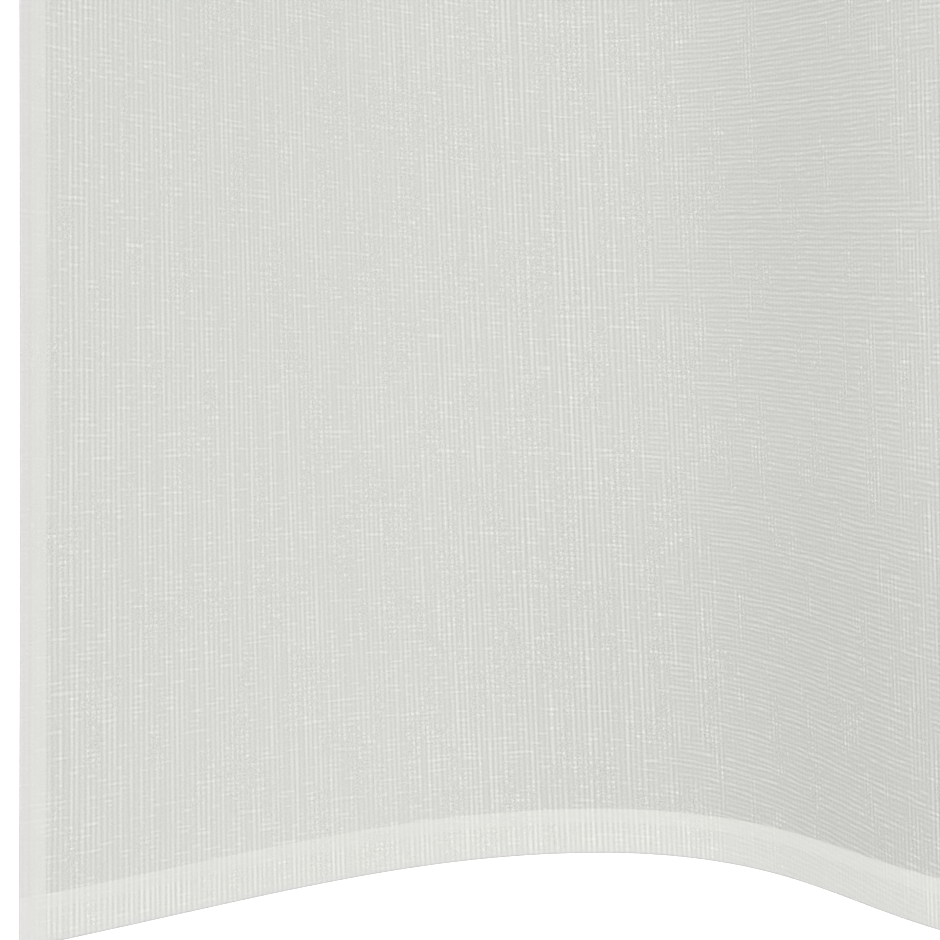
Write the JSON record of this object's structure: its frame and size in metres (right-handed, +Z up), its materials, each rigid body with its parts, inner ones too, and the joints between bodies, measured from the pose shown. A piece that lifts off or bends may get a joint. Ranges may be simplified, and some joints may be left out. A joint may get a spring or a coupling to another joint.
{
  "type": "voile curtain",
  "caption": "Sheer voile curtain panel hanging in deep soft waves, with narrow turned hems along its side and bottom edges.",
  "frame": {"origin": "middle of the top edge, in the upright plane that the folds hang around", "axes": "+Z up along the drop, +X along the width to the right as seen from the room, -Y towards the room"},
  "size_m": [0.9716, 0.2047, 2.4501],
  "materials": {
    "voile": "matt open plain weave with slubs, off-white with a faint grey-green cast"
  },
  "bodies": {
    "root": {"curtain_panel": "voile"}
  },
  "joints": []
}
